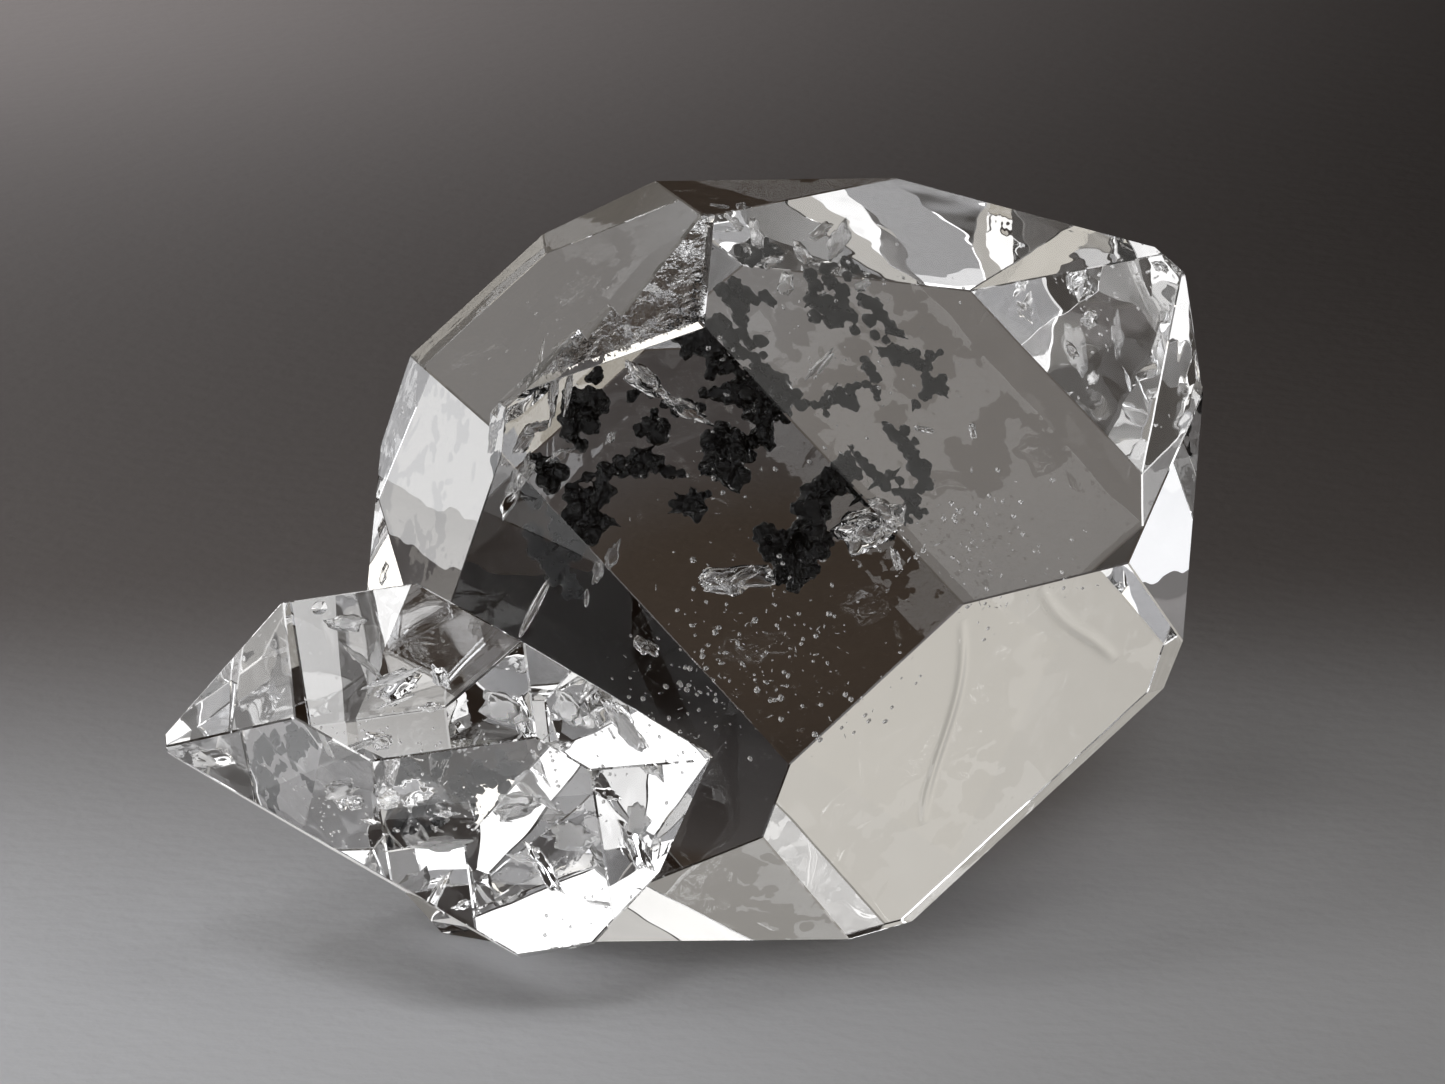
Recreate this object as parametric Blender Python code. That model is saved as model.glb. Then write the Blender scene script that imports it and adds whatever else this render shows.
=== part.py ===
# Herkimer diamond: two clear, doubly terminated quartz crystals grown together, with pitch black
# carbon lumps sealed inside the larger one.
# The clear body is parted into a front and a back half, and each lump lies in a pocket between them.
import math
import random

import bmesh
import bpy
from mathutils import Matrix, Vector

MM = 0.001

# quartz: angle between the c axis and the normal of a pyramid face
PYRAMID_ANGLE = math.radians(51.79)

# large crystal: distance of each face from its centre, one value for each sixth of a turn
LARGE_PRISM = (7.20, 7.74, 8.05, 6.43, 8.54, 8.51)
LARGE_UPPER = (6.99, 9.79, 9.38, 8.80, 7.54, 9.23)
LARGE_LOWER = (7.81, 9.24, 8.56, 7.52, 9.94, 8.66)
# it lies on the third of its lower pyramid faces
LARGE_ELEVATION = 90.0 - math.degrees(PYRAMID_ANGLE)
LARGE_AZIMUTH = 17.6
LARGE_ROLL = 150.0

# small crystal, grown into the lower end of the large one
SMALL_PRISM = (4.07, 3.82, 4.61, 4.00, 4.00, 4.49)
SMALL_UPPER = (4.81, 5.33, 5.58, 3.35, 5.00, 3.67)
SMALL_LOWER = (5.05, 3.81, 2.80, 5.00, 5.00, 5.41)
SMALL_ELEVATION = 6.7
SMALL_AZIMUTH = 2.05
SMALL_ROLL = 128.2
SMALL_OFFSET = (-8.17, -6.59, -3.44)

# rough corner between the top prism face, its left neighbour and the upper pyramid
CORNER_NORMAL = (0.207, 0.853, -0.480)
CORNER_DISTANCE = 8.78
# worn corner at the far right tip, and the blunt left tip of the small crystal
TIP_NORMAL = (0.97, -0.20, -0.12)
TIP_TRIM = 0.30
SMALL_TIP_TRIM = 0.28

# growth layers that overhang the left edge of the top prism face:
# height over the side face, depth below the top face, end along the axis
LEDGES = ((0.42, 0.55, -1.9), (0.20, 1.05, -0.9))
LEDGE_TAPER = 12.0

# chips along the upper edge of the small crystal: place along the axis, radius
CHIPS = ((-2.15, 0.42), (-1.45, 0.30), (-0.75, 0.24))
# share of its radius that a chip's middle lies outside the edge
CHIP_LIFT = 0.25

# parting of the clear body, under the top prism face and under the upper pyramid face beside it
PRISM_DEPTH = 2.2
PYRAMID_DEPTH = 2.0
PARTING_END = -4.8
PARTING_GAP = 0.3
POCKET_GAP = 0.3

# carbon lumps: (place along the face, place across it, radius) for each swelling of a cluster
UNDER_PRISM = {
    "carbon_boot": ((-0.1, 0.6, 0.75), (0.15, 1.3, 0.75), (1.0, 0.85, 0.45), (1.45, 0.3, 0.28)),
    "carbon_star": ((-1.0, -1.8, 0.40), (-0.8, -1.4, 0.35)),
    "carbon_flower": ((0.1, -1.45, 0.55), (0.85, -2.2, 0.50), (1.4, -2.8, 0.35), (1.5, -2.1, 0.46),
                      (1.45, -1.5, 0.34)),
    "carbon_bead": ((0.3, -4.5, 0.40), (-0.15, -3.75, 0.42), (-0.7, -3.6, 0.30)),
    "carbon_crown": ((1.45, -4.75, 0.40), (1.5, -4.1, 0.40), (1.5, -3.6, 0.25)),
    "carbon_lump": ((-1.1, -5.1, 0.55), (-1.85, -4.6, 0.55)),
    "carbon_ball": ((-2.9, -4.75, 0.42), (-2.9, -4.3, 0.42)),
    "carbon_mass": ((-0.6, -2.3, 0.28), (-1.2, -3.05, 0.32), (-2.1, -3.35, 0.38), (-2.75, -3.0, 0.55),
                    (-3.45, -2.85, 0.62), (-3.6, -1.9, 0.50)),
    "carbon_speck": ((-0.3, -5.75, 0.18),),
}
UNDER_PYRAMID = {
    "carbon_block": ((-0.6, -4.9, 0.45), (-0.65, -4.1, 0.50), (-0.95, -3.4, 0.30)),
    "carbon_twins": ((-0.95, -1.5, 0.24), (-0.6, -1.15, 0.38), (0.0, -0.9, 0.40)),
    "carbon_cloud": ((1.5, -3.4, 0.60), (2.3, -2.95, 0.65), (2.6, -2.1, 0.50)),
    "carbon_branch": ((1.5, -1.6, 0.26), (2.0, -1.05, 0.30), (2.6, -0.45, 0.30), (2.2, -0.1, 0.35),
                      (1.7, 0.35, 0.35)),
    "carbon_drop": ((1.05, -1.0, 0.25), (0.75, -0.6, 0.18)),
    "carbon_blade": ((0.3, 0.1, 0.28), (0.15, 0.95, 0.38), (-0.35, 2.0, 0.28)),
    "carbon_shard": ((-1.0, 0.5, 0.18), (-1.0, 1.2, 0.35), (-1.1, 2.2, 0.28)),
    "carbon_flake": ((1.0, -5.1, 0.25),),
}
# share of a swelling's radius that its main bead and its side bead take
BEAD_SHARE = 0.84
SIDE_SHARE = 0.56
# only a swelling of a larger radius than this has a side bead
LEAST_WITH_SIDE = 0.36
# width of the neck between two swellings, against the narrower one
LINK_SHARE = 0.75
# a coarse sphere's flat faces lie inside its radius by this share
COARSE_SHARE = 0.93

BLOCK = 60.0
SEED = 11

for item in list(bpy.data.objects):
    bpy.data.objects.remove(item, do_unlink=True)


def new_collection(name):
    collection = bpy.data.collections.new(name)
    bpy.context.scene.collection.children.link(collection)
    return collection


parts = new_collection("herkimer_diamond")
cutters = new_collection("cutters")


def new_material(name, colour, roughness, transmission=0.0):
    material = bpy.data.materials.new(name)
    material.use_nodes = True
    shader = material.node_tree.nodes["Principled BSDF"]
    shader.inputs["Base Color"].default_value = (*colour, 1.0)
    shader.inputs["Roughness"].default_value = roughness
    shader.inputs["Metallic"].default_value = 0.0
    shader.inputs["Transmission Weight"].default_value = transmission
    return material


front_look = new_material("quartz_front", (0.86, 0.86, 0.87), 0.02, 1.0)
back_look = new_material("quartz_back", (0.80, 0.79, 0.78), 0.02, 1.0)


def mesh_object(name, bm):
    # every shape starts as a cutter, and the finished ones move to the parts at the end
    mesh = bpy.data.meshes.new(name)
    bm.to_mesh(mesh)
    bm.free()
    obj = bpy.data.objects.new(name, mesh)
    cutters.objects.link(obj)
    obj.hide_render = True
    obj.display_type = "WIRE"
    return obj


def combine(obj, operation, tools):
    # joins or cuts with each tool in turn and keeps the result as the object's own mesh
    for tool in tools:
        modifier = obj.modifiers.new(tool.name, "BOOLEAN")
        modifier.operation = operation
        modifier.solver = "EXACT"
        modifier.object = tool
    bpy.context.view_layer.update()
    graph = bpy.context.evaluated_depsgraph_get()
    mesh = bpy.data.meshes.new_from_object(obj.evaluated_get(graph))
    obj.modifiers.clear()
    obj.data = mesh
    return obj


def copy_of(obj, name):
    twin = bpy.data.objects.new(name, obj.data.copy())
    cutters.objects.link(twin)
    return twin


def crystal_axes(elevation, azimuth, roll):
    # c runs along the crystal, and u and v span the plane across it
    tilt = math.radians(elevation)
    turn = math.radians(azimuth)
    c = Vector((math.cos(tilt) * math.cos(turn), math.cos(tilt) * math.sin(turn), math.sin(tilt)))
    level = Vector((0, 0, 1)).cross(c).normalized()
    rise = c.cross(level)
    angle = math.radians(roll)
    u = math.cos(angle) * level + math.sin(angle) * rise
    return Matrix((c, u, c.cross(u))).transposed()


def sixths(axes):
    for step in range(6):
        angle = step * math.pi / 3
        yield axes @ Vector((0, math.cos(angle), math.sin(angle)))


def crystal_planes(axes, prism, upper, lower):
    along = axes.col[0] * math.cos(PYRAMID_ANGLE)
    planes = []
    for side, d_prism, d_upper, d_lower in zip(sixths(axes), prism, upper, lower):
        planes.append((side, d_prism))
        planes.append((along + side * math.sin(PYRAMID_ANGLE), d_upper))
        planes.append((side * math.sin(PYRAMID_ANGLE) - along, d_lower))
    return planes


def cut_solid(name, centre, planes, size=BLOCK):
    # a block about the centre, trimmed by each plane in turn
    bm = bmesh.new()
    bmesh.ops.create_cube(bm, size=size * MM, matrix=Matrix.Translation(centre * MM))
    for normal, distance in planes:
        everything = bm.verts[:] + bm.edges[:] + bm.faces[:]
        point = (centre + normal.normalized() * distance) * MM
        bmesh.ops.bisect_plane(bm, geom=everything, dist=1e-8, plane_co=point, plane_no=normal, clear_outer=True)
        rim = [edge for edge in bm.edges if edge.is_boundary]
        if rim:
            bmesh.ops.holes_fill(bm, edges=rim, sides=0)
    bmesh.ops.remove_doubles(bm, verts=bm.verts[:], dist=1e-6)
    bmesh.ops.recalc_face_normals(bm, faces=bm.faces[:])
    return mesh_object(name, bm)


def sphere(name, place, radius, turn=0.0):
    bm = bmesh.new()
    matrix = Matrix.Translation(place * MM) @ Matrix.Rotation(turn, 4, "X") @ Matrix.Rotation(turn * 2, 4, "Z")
    bmesh.ops.create_icosphere(bm, subdivisions=1, radius=radius * MM, matrix=matrix)
    return mesh_object(name, bm)


def egg(name, start, end, radius):
    # a sphere stretched between two places, which it just reaches
    bm = bmesh.new()
    span = end - start
    turn = span.to_track_quat("Z", "Y").to_matrix().to_4x4()
    stretch = Matrix.Diagonal((1.0, 1.0, max(span.length / 2 / radius, 1.0), 1.0))
    matrix = Matrix.Translation((start + end) / 2 * MM) @ turn @ stretch
    bmesh.ops.create_icosphere(bm, subdivisions=1, radius=radius * MM, matrix=matrix)
    return mesh_object(name, bm)


large = crystal_axes(LARGE_ELEVATION, LARGE_AZIMUTH, LARGE_ROLL)
small = crystal_axes(SMALL_ELEVATION, SMALL_AZIMUTH, SMALL_ROLL)
large_centre = Vector((0, 0, 0))
small_centre = Vector(SMALL_OFFSET)
c_axis, u_axis, v_axis = large.col
pyramid_normal = c_axis * math.cos(PYRAMID_ANGLE) + u_axis * math.sin(PYRAMID_ANGLE)
pyramid_along = c_axis * math.sin(PYRAMID_ANGLE) - u_axis * math.cos(PYRAMID_ANGLE)
left_side = list(sixths(large))[5]

large_planes = crystal_planes(large, LARGE_PRISM, LARGE_UPPER, LARGE_LOWER)
corner = [(large @ Vector(CORNER_NORMAL), CORNER_DISTANCE)]
quartz = cut_solid("quartz", large_centre, large_planes + corner)


def reach(obj, centre, direction):
    return max((vert.co / MM - centre).dot(direction) for vert in obj.data.vertices)


tip_normal = (large @ Vector(TIP_NORMAL)).normalized()
tip = cut_solid("worn_tip", large_centre, [(-tip_normal, TIP_TRIM - reach(quartz, large_centre, tip_normal))])
combine(quartz, "DIFFERENCE", [tip])

# overhanging growth layers along the left edge of the top face
ledge_tools = []
for number, (height, depth, end) in enumerate(LEDGES):
    raised = LARGE_PRISM[:5] + (LARGE_PRISM[5] + height,)
    planes = crystal_planes(large, raised, LARGE_UPPER, LARGE_LOWER) + corner
    slant = c_axis * math.cos(math.radians(LEDGE_TAPER)) - left_side * math.sin(math.radians(LEDGE_TAPER))
    planes.append((-u_axis, depth - LARGE_PRISM[0]))
    planes.append((slant, end))
    planes.append((-left_side, 0.0))
    ledge_tools.append(cut_solid(f"ledge_{number}", large_centre, planes))
combine(quartz, "UNION", ledge_tools)

# small crystal with its blunt tip and chipped upper edge
small_planes = crystal_planes(small, SMALL_PRISM, SMALL_UPPER, SMALL_LOWER)
twin = cut_solid("small_crystal", small_centre, small_planes)
small_tip = -small.col[0]
small_planes.append((small_tip, reach(twin, small_centre, small_tip) - SMALL_TIP_TRIM))
twin = cut_solid("small_body", small_centre, small_planes)
small_sides = list(sixths(small))
edge_out = (small_sides[0] + small_sides[5]).normalized()
edge_distance = reach(twin, small_centre, edge_out)
chip_tools = []
for number, (along, radius) in enumerate(CHIPS):
    place = small_centre + small.col[0] * along + edge_out * (edge_distance + radius * CHIP_LIFT)
    chip_tools.append(sphere(f"chip_{number}", place, radius, turn=number))
combine(twin, "DIFFERENCE", chip_tools)
combine(quartz, "UNION", [twin])


def parting_tool(name, shift):
    # everything above the two parting planes, up to the end plane
    block = cut_solid(name, large_centre, [(-c_axis, -PARTING_END - shift)])
    inner = [(u_axis, LARGE_PRISM[0] - PRISM_DEPTH + shift), (pyramid_normal, LARGE_UPPER[0] - PYRAMID_DEPTH + shift)]
    core = cut_solid(f"{name}_inner", large_centre, inner, BLOCK * 2)
    return combine(block, "DIFFERENCE", [core])


front = copy_of(quartz, "quartz_front")
back = copy_of(quartz, "quartz_back")
combine(front, "INTERSECT", [parting_tool("front_tool", PARTING_GAP / 2)])
combine(back, "DIFFERENCE", [parting_tool("back_tool", -PARTING_GAP / 2)])

# carbon clusters between the halves, and a pocket around each swelling
rng = random.Random(SEED)
pockets = []
clusters = []
sheets = (
    (UNDER_PRISM, u_axis * (LARGE_PRISM[0] - PRISM_DEPTH), c_axis),
    (UNDER_PYRAMID, pyramid_normal * (LARGE_UPPER[0] - PYRAMID_DEPTH), pyramid_along),
)
for table, foot, along_axis in sheets:
    for name, swellings in table.items():
        beads = []
        for number, (along, across, radius) in enumerate(swellings):
            place = foot + along_axis * along + v_axis * across
            beads.append(sphere(f"{name}_bead_{number}", place, radius * BEAD_SHARE, turn=rng.uniform(0, 3)))
            aside = Vector((rng.gauss(0, 1), rng.gauss(0, 1), rng.gauss(0, 1))).normalized()
            if radius > LEAST_WITH_SIDE:
                side = place + aside * radius * (1 - SIDE_SHARE)
                beads.append(sphere(f"{name}_side_{number}", side, radius * SIDE_SHARE, turn=rng.uniform(0, 3)))
            pocket_radius = (radius + POCKET_GAP) / COARSE_SHARE
            pockets.append(sphere(f"{name}_pocket_{number}", place, pocket_radius, turn=number))
            if number:
                beads.append(egg(f"{name}_link_{number}", last_place, place, min(last_radius, radius) * LINK_SHARE))
            last_place = place
            last_radius = radius
        cluster = beads[0]
        combine(cluster, "UNION", beads[1:])
        cluster.name = name
        clusters.append(cluster)

combine(front, "DIFFERENCE", pockets)
combine(back, "DIFFERENCE", pockets)

# the group stands on z = 0, with its box centred on the origin
corners = [obj.matrix_world @ vert.co for obj in (front, back) for vert in obj.data.vertices]
low = Vector([min(point[axis] for point in corners) for axis in range(3)])
high = Vector([max(point[axis] for point in corners) for axis in range(3)])
foot_point = Vector(((low.x + high.x) / 2, (low.y + high.y) / 2, low.z))

for obj in [front, back] + clusters:
    obj.data.transform(Matrix.Translation(-foot_point))
    cutters.objects.unlink(obj)
    parts.objects.link(obj)
    obj.hide_render = False
    obj.display_type = "TEXTURED"
    obj.data.materials.clear()

front.data.materials.append(front_look)
back.data.materials.append(back_look)
for cluster in clusters:
    cluster.data.materials.append(new_material(cluster.name, (0.012, 0.012, 0.013), 0.18))
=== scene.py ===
import math
import random
import bpy
from mathutils import Matrix, Vector, noise


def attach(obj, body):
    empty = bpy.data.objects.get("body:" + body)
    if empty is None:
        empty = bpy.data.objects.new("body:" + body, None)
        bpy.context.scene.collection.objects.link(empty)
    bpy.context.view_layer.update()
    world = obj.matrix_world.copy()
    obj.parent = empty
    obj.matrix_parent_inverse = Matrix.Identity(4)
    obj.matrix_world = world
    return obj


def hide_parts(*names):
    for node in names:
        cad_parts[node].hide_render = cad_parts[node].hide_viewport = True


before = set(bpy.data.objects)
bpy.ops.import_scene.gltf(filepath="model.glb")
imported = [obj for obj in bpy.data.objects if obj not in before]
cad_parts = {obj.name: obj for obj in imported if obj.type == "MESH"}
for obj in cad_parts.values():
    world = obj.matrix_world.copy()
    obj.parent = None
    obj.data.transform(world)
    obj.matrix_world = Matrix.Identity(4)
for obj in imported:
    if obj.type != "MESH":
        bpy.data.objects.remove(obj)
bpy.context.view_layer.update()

mm = 0.001    # pieces are shaped in millimetres and brought to metres when they are finished
rng = random.Random(41)
scene = bpy.context.scene
scene.view_settings.view_transform = "Standard"
scene.view_settings.look = "None"
# light is thrown many times about inside the crystals before it leaves
scene.cycles.max_bounces = 28
scene.cycles.glossy_bounces = 20
scene.cycles.transmission_bounces = 24


# camera

camera = {
    "place": (0.75, -164.49, 57.24),    # mm
    "right": (0.99977, -0.00597, -0.02049),
    "up": (0.02134, 0.27975, 0.95983),
    "lens": 172.6,
    "sensor": 36.0,
    "clip": (0.01, 10),    # m
    "frame": (1445, 1084),
}


def makeCamera():
    data = bpy.data.cameras.new("camera")
    data.lens = camera["lens"]
    data.sensor_width = camera["sensor"]
    data.clip_start, data.clip_end = camera["clip"]
    eye = bpy.data.objects.new("camera", data)
    scene.collection.objects.link(eye)
    right = Vector(camera["right"]).normalized()
    up = Vector(camera["up"]).normalized()
    back = right.cross(up)
    turn = Matrix((right, up, back)).transposed().to_4x4()
    eye.matrix_world = Matrix.Translation(Vector(camera["place"]) * mm) @ turn
    scene.camera = eye


makeCamera()
print("camera set")


# materials

def newMaterial(name, **values):
    material = bpy.data.materials.new(name)
    material.use_nodes = True
    shader = material.node_tree.nodes["Principled BSDF"]
    for socket, value in values.items():
        shader.inputs[socket.replace("_", " ")].default_value = value
    return material, material.node_tree, shader


def addNode(tree, kind, **settings):
    node = tree.nodes.new(kind)
    for key, value in settings.items():
        if key in node.inputs:
            node.inputs[key].default_value = value
        else:
            setattr(node, key, value)
    return node


# studio: pale floor with painted shade toward the back and a painted shadow behind the crystals, soft lights,
# white cards and narrow strips of light

studio = {
    "floorSize": 1600.0,
    "floorColour": (0.62, 0.62, 0.635, 1),
    # the paper darkens toward the back: its far tone is painted shade, standing in for the light falling off
    # behind the crystals
    "floorPaintedShadeColour": (0.150, 0.134, 0.128, 1),
    "paintedShadeTurn": (-0.008, 0.031),    # from the near tone to the far one, m behind the middle
    "floorCuts": 8,
    "paper": {"Roughness": 0.7, "Specular_IOR_Level": 0.12},
    "grain": {"Scale": 1400.0, "Detail": 3.0},
    "grainBump": {"Strength": 0.25, "Distance": 0.0002},
    # a painted shadow: a dark patch on the paper that stands in for the crystals' shadow behind them, and
    # that the crystals hide from the camera
    "paintedShadowColour": (0.098, 0.072, 0.053, 1),
    "paintedShadowShift": (-0.0025, -0.018, 0),    # from the patch's middle to the origin, m
    "paintedShadowScale": (91, 40, 0),    # one over its half width and half depth, per m
    "paintedShadowEdge": (0.5, 1.0),    # where it starts to fade and where it ends, as shares of its half size
    "worldColour": (0.014, 0.009, 0.006, 1),
    "bareSpread": 179,    # from this spread on a light has no grid, degrees
    "redGain": 0.5,    # share of a light's warmth that is added to its red
    "aim": (0, 0, 8),
    # place as azimuth, elevation and distance, with azimuth 0 behind the crystals and 90 to their right,
    # then width, height, spread of the grid in degrees, brightness and warmth; lengths in mm
    "softboxes": {
        "keyRight": (81, 49, 170, 86, 76, 44, 0.85, 0.04),
        "rightSide": (117, 42, 170, 110, 76, 44, 1.8, 0.02),
        "rightTop": (115, 72, 170, 70, 56, 44, 1.6, 0.0),
        "leftNear": (-64, 17, 170, 70, 100, 60, 2.2, 0.0),
        "leftSide": (-97, 17, 170, 100, 100, 60, 2.4, 0.0),
        "leftHigh": (-93, 46, 170, 80, 60, 50, 2.0, 0.0),
        "leftFront": (-146, 10, 170, 170, 56, 64, 2.2, 0.0),
        "leftBack": (-29, 13, 140, 92, 112, 60, 0.62, 0.08),
        "leftLow": (-46, 1.5, 80, 50, 19, 180, 1.0, -0.03),
        "topBack": (0, 34, 220, 190, 60, 60, 0.33, 0.06),
        "topHigh": (-8, 67, 200, 60, 50, 60, 0.45, 0.06),
        "topRight": (43, 45, 220, 60, 60, 60, 0.6, 0.1),
        "frontRight": (155, 8, 220, 90, 60, 60, 1.8, 0.08),
    },
    # place, aim, width, height, spread, brightness and warmth
    "cards": {
        "rightCard": ((34, 26, 0.3), (34, 26, 50), 30, 30, 180, 0.48, 0.0),
        "frontCard": ((3, -29, 0.3), (3, -29, 50), 34, 24, 180, 1.2, 0.0),
        "leftFrontCard": ((-26, -20, 0.3), (-26, -20, 50), 16, 32, 180, 0.85, 0.0),
        "underCard": ((-10.5, 3, 0.3), (-10.5, 3, 50), 15, 16, 180, 0.42, 0.02),
        "behindStrip": ((4.0, 10.8, 4.9), (10.4, -9.1, 17.0), 26, 11, 38, 0.085, 0.02),
        "slantStrip": ((1.0, 11.6, 6.1), (-8.3, 0.4, 19.8), 16, 13, 36, 0.085, -0.08),
        "tanCard": ((11.5, -5.0, 0.3), (11.5, -5.0, 50), 8, 6, 180, 0.14, 0.35),
        "frontStrip": ((-7.5, -17.5, 0.8), (-8.6, -1.2, 12.3), 20, 9, 34, 1.1, 0.0),
        "rightStrip": ((2.5, -17.5, 0.8), (-2.6, -1.5, 11.5), 10, 8, 34, 0.8, 0.02),
        "frontPool": ((-42, -64, 110), (-38, -34, 0), 70, 50, 60, 7.0, -0.03),
        "leftPool": ((-78, -8, 100), (-48, 20, 0), 60, 60, 50, 8.0, -0.03),
        "backLeftPool": ((-52, 130, 70), (-46, 112, 0), 60, 50, 80, 15.0, -0.04),
        "backPool": ((-10, 150, 80), (-6, 128, 0), 60, 40, 70, 5.0, 0.0),
    },
}


def softLight(name, place, aim, width, height, spread, brightness, warmth):
    data = bpy.data.lights.new(name, "AREA")
    data.shape = "RECTANGLE"
    data.size = width * mm
    data.size_y = height * mm
    data.spread = math.radians(spread)
    half = math.radians(spread) / 2
    # a narrower spread gathers the same power, so the power is lowered by as much
    gather = math.tan(half) / (math.tan(half) - half) if spread < studio["bareSpread"] else 1.0
    data.energy = brightness * math.pi * width * height * mm * mm / gather
    data.color = (1 + warmth * studio["redGain"], 1, 1 - warmth)
    lamp = bpy.data.objects.new(name, data)
    scene.collection.objects.link(lamp)
    away = (Vector(place) - Vector(aim)).normalized()
    turn = away.to_track_quat("Z", "Y").to_matrix().to_4x4()
    lamp.matrix_world = Matrix.Translation(Vector(place) * mm) @ turn
    lamp.visible_camera = False


def link(tree, outlet, inlet):
    tree.links.new(outlet, inlet)


def colourIn(node, name):
    return next(socket for socket in node.inputs if socket.type == "RGBA" and socket.name == name)


def colourOut(node):
    return next(socket for socket in node.outputs if socket.type == "RGBA")


def mixColours(tree, first, second):
    mix = addNode(tree, "ShaderNodeMix", data_type="RGBA")
    colourIn(mix, "A").default_value = first
    colourIn(mix, "B").default_value = second
    return mix


def setRange(node, side, values):
    node.inputs[side + " Min"].default_value, node.inputs[side + " Max"].default_value = values


def makePaper():
    # matt paper that grades from a pale near tone to a darker far one, the far tone being painted shade, with
    # the dark patch of painted shadow
    material, tree, shader = newMaterial("paperWithPaintedShade", **studio["paper"])
    place = addNode(tree, "ShaderNodeTexCoord")
    parts = addNode(tree, "ShaderNodeSeparateXYZ")
    # painted shade: the paper turns to its darker far tone toward the back
    paintedShadeGrade = addNode(tree, "ShaderNodeMapRange", interpolation_type="SMOOTHSTEP")
    setRange(paintedShadeGrade, "From", studio["paintedShadeTurn"])
    grain = addNode(tree, "ShaderNodeTexNoise", **studio["grain"])
    bump = addNode(tree, "ShaderNodeBump", **studio["grainBump"])
    tone = mixColours(tree, studio["floorColour"], studio["floorPaintedShadeColour"])
    # painted shadow: the dark patch is mixed over the paper's tone
    paintedShadow = mixColours(tree, studio["paintedShadowColour"], (0, 0, 0, 1))
    shift = addNode(tree, "ShaderNodeVectorMath", operation="ADD")
    shift.inputs[1].default_value = studio["paintedShadowShift"]
    scaled = addNode(tree, "ShaderNodeVectorMath", operation="MULTIPLY")
    scaled.inputs[1].default_value = studio["paintedShadowScale"]
    far = addNode(tree, "ShaderNodeVectorMath", operation="LENGTH")
    edge = addNode(tree, "ShaderNodeMapRange", interpolation_type="SMOOTHSTEP")
    setRange(edge, "From", studio["paintedShadowEdge"])
    link(tree, place.outputs["Object"], parts.inputs[0])
    link(tree, parts.outputs["Y"], paintedShadeGrade.inputs["Value"])
    link(tree, paintedShadeGrade.outputs["Result"], tone.inputs["Factor"])
    link(tree, place.outputs["Object"], shift.inputs[0])
    link(tree, shift.outputs[0], scaled.inputs[0])
    link(tree, scaled.outputs[0], far.inputs[0])
    link(tree, far.outputs["Value"], edge.inputs["Value"])
    link(tree, edge.outputs["Result"], paintedShadow.inputs["Factor"])
    link(tree, colourOut(tone), colourIn(paintedShadow, "B"))
    link(tree, colourOut(paintedShadow), shader.inputs["Base Color"])
    link(tree, place.outputs["Object"], grain.inputs["Vector"])
    link(tree, grain.outputs["Fac"], bump.inputs["Height"])
    link(tree, bump.outputs["Normal"], shader.inputs["Normal"])
    return material


def makeStudio():
    bpy.ops.object.select_all(action="DESELECT")
    cuts = studio["floorCuts"]
    bpy.ops.mesh.primitive_grid_add(x_subdivisions=cuts, y_subdivisions=cuts, size=studio["floorSize"] * mm)
    floor = bpy.context.object
    floor.name = "floor"
    floor.data.materials.append(makePaper())
    world = bpy.data.worlds.new("studio")
    scene.world = world
    world.use_nodes = True
    world.node_tree.nodes["Background"].inputs["Color"].default_value = studio["worldColour"]
    aim = Vector(studio["aim"])
    for name, (azimuth, elevation, distance, *rest) in studio["softboxes"].items():
        turn = math.radians(azimuth)
        rise = math.radians(elevation)
        away = Vector((math.sin(turn) * math.cos(rise), math.cos(turn) * math.cos(rise), math.sin(rise)))
        softLight(name, aim + away * distance, aim, *rest)
    for name, values in studio["cards"].items():
        softLight(name, *values)


makeStudio()
print("studio set")


# clear body

crystal = {
    # lengths in mm; the six prism, upper and lower faces are given by their distance from the centre
    "angle": 51.79,    # between the long axis and a pyramid face's normal
    "largeCentre": (1.9203, 1.308, 8.56),
    "largeTurn": (90 - 51.79, 17.6, 150.0),    # elevation, azimuth, roll
    "largePrism": (7.20, 7.74, 8.05, 6.43, 8.54, 8.51),
    "largeUpper": (6.99, 9.79, 9.38, 8.80, 7.54, 9.23),
    "largeLower": (7.81, 9.24, 8.56, 7.52, 9.94, 8.66),
    "smallFromLarge": (-8.17, -6.59, -3.44),
    "smallTurn": (6.7, 2.05, 128.2),
    "smallPrism": (4.07, 3.82, 4.61, 4.00, 4.00, 4.49),
    "smallUpper": (4.81, 5.33, 5.58, 3.35, 5.00, 3.67),
    "smallLower": (5.05, 3.81, 2.80, 5.00, 5.00, 5.41),
    "corner": ((0.207, 0.853, -0.480), 8.78),    # the cut corner's normal and reach, by the large axes
    "tip": ((0.97, -0.20, -0.12), 0.30),    # the blunted tip's normal and how much is cut off
    "smallTip": 0.28,
    # overhanging growth layers: height over the side face, depth below the top face, end along the axis
    "ledges": ((0.42, 0.55, -1.9), (0.20, 1.05, -0.9)),
    "ledgeTaper": 12.0,
    # chips of the small crystal: place along the axis, radius
    "chips": ((-2.15, 0.42), (-1.45, 0.30), (-0.75, 0.24)),
    "chipLift": 0.25,    # how far a chip's middle stands off the edge, in radii
    "chipStretch": (0.8, 1.0),
    "block": 60,    # side of the cube that each crystal is cut from
    "cutReach": 1e-5,    # a corner this near to a cut counts as on it
    "weld": 1e-4,    # corners nearer than this become one in a cut block
    "merge": 0.0005,    # and in the joined body
    "bevel": 0.03,
    "bevelAngle": 10,    # flatter edges get no bevel, degrees
    "fissure": 0.03,
    "ior": 1.544,
    "step": 0.0243,    # one point of the frame, in mm, at the crystals
}


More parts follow.
